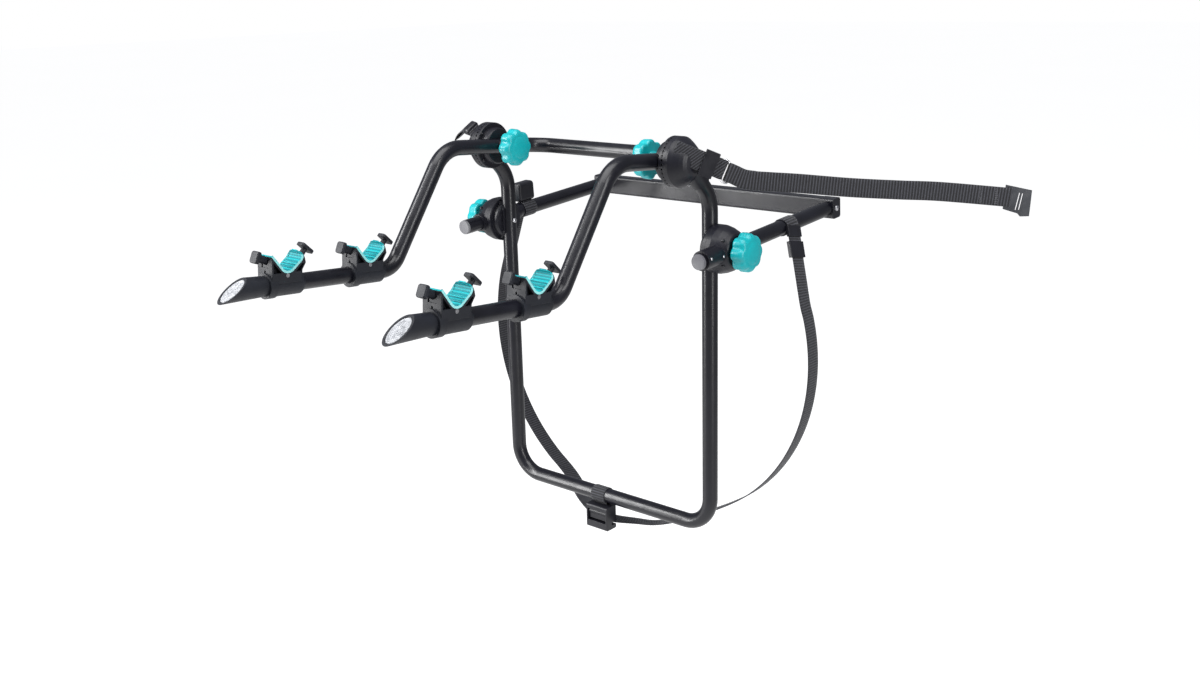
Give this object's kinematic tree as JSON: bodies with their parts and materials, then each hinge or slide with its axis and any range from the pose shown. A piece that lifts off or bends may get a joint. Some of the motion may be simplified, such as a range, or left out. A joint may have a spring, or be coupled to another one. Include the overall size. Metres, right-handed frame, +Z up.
{
  "type": "bike carrier",
  "caption": "Folding bicycle carrier strapped over a spare wheel: bent tube frame, tilting arms with lined cradles and pegs, sliding rear hook, hand knobs and webbing.",
  "frame": {"origin": "centre of the spare wheel in the plane where the uprights' rear faces touch the tyre wall", "axes": "+X across the carrier to the side of the long strap, +Y from the bicycles towards the vehicle, +Z up"},
  "size_m": [0.9371, 0.9303, 0.7074],
  "materials": {
    "frame_paint": "black powder coat",
    "hub_plastic": "black moulded nylon",
    "cradle_plastic": "black moulded, polished",
    "liner_rubber": "teal soft rubber",
    "knob_plastic": "teal moulded",
    "zinc_steel": "zinc plated",
    "insert_brass": "bare brass",
    "cap_plastic": "dark grey moulded",
    "webbing": "black ribbed polypropylene webbing",
    "buckle_plastic": "black moulded",
    "ring_steel": "bright wire",
    "hook_coating": "dark grey dipped coating",
    "reflector_lens": "clear prismatic lens over silver"
  },
  "bodies": {
    "frame": {"main_frame_tube": "frame_paint", "hub_shell_right": "hub_plastic", "hub_shell_left": "hub_plastic", "hub_discs": "hub_plastic", "pivot_bolts": "zinc_steel", "clamp_saddle_right": "hub_plastic", "clamp_saddle_left": "hub_plastic", "slide_housing_right": "hub_plastic", "slide_housing_left": "hub_plastic", "clamp_rivets": "zinc_steel", "clamp_screws": "zinc_steel", "sleeve_screws": "zinc_steel", "housing_inserts": "insert_brass", "tyre_belt": "webbing", "side_loop_right": "webbing", "belt_keeper": "buckle_plastic", "belt_buckle": "buckle_plastic", "side_loop_left": "webbing", "belt_anchor_left": "buckle_plastic", "strap_tab_right": "webbing", "strap_keeper": "buckle_plastic", "strap_ring": "ring_steel", "top_strap": "webbing", "hook_plate": "hook_coating", "strap_tab_left": "webbing", "foot_loop": "webbing", "foot_buckle": "buckle_plastic"},
    "arms": {"arm_tube": "frame_paint", "saddle_screws": "frame_paint", "arm_spacers": "hub_plastic", "cradle_screws": "zinc_steel", "reflectors": "reflector_lens", "arm_saddle_right": "hub_plastic", "end_cap_right": "cradle_plastic", "cradle_front_right": "cradle_plastic", "cradle_liner_front_right": "liner_rubber", "cradle_rear_right": "cradle_plastic", "cradle_liner_rear_right": "liner_rubber", "arm_saddle_left": "hub_plastic", "end_cap_left": "cradle_plastic", "cradle_front_left": "cradle_plastic", "cradle_liner_front_left": "liner_rubber", "cradle_rear_left": "cradle_plastic", "cradle_liner_rear_left": "liner_rubber"},
    "rear_hook": {"side_tube_right": "frame_paint", "side_tube_left": "frame_paint", "rear_bar": "frame_paint", "rear_brackets": "frame_paint", "bracket_bolts": "zinc_steel", "side_caps": "cap_plastic"},
    "fold_knob_right": {"upper_knob_right": "knob_plastic"},
    "fold_knob_left": {"upper_knob_left": "knob_plastic"},
    "slide_lock_right": {"slide_knob_right": "knob_plastic", "slide_knob_stud_right": "zinc_steel"},
    "slide_lock_left": {"slide_knob_left": "knob_plastic", "slide_knob_stud_left": "zinc_steel"},
    "cam_lever": {"foot_lever": "buckle_plastic"}
  },
  "joints": [
    {"name": "arm_fold", "type": "hinge", "parent": "frame", "child": "arms", "pos_m": [0, -0.0685, 0.348], "axis": [1, 0, 0], "range_deg": [0, 62]},
    {"name": "hook_slide", "type": "slide", "parent": "frame", "child": "rear_hook", "axis": [0, 0.9974, 0.0715], "range_m": [-0.08, 0.02]},
    {"name": "fold_knob_right_turn", "type": "hinge", "parent": "frame", "child": "fold_knob_right", "pos_m": [0.138, -0.0685, 0.348], "axis": [1, 0, 0], "continuous": true},
    {"name": "fold_knob_left_turn", "type": "hinge", "parent": "frame", "child": "fold_knob_left", "pos_m": [-0.138, -0.0685, 0.348], "axis": [1, 0, 0], "continuous": true},
    {"name": "slide_lock_right_turn", "type": "hinge", "parent": "frame", "child": "slide_lock_right", "pos_m": [0.284, -0.0125, 0.21], "axis": [1, 0, 0], "continuous": true},
    {"name": "slide_lock_left_turn", "type": "hinge", "parent": "frame", "child": "slide_lock_left", "pos_m": [-0.284, -0.0125, 0.21], "axis": [1, 0, 0], "continuous": true},
    {"name": "cam_lever_turn", "type": "hinge", "parent": "frame", "child": "cam_lever", "pos_m": [-0.013, -0.027, -0.289], "axis": [1, 0, 0], "range_deg": [-90, 0]}
  ]
}
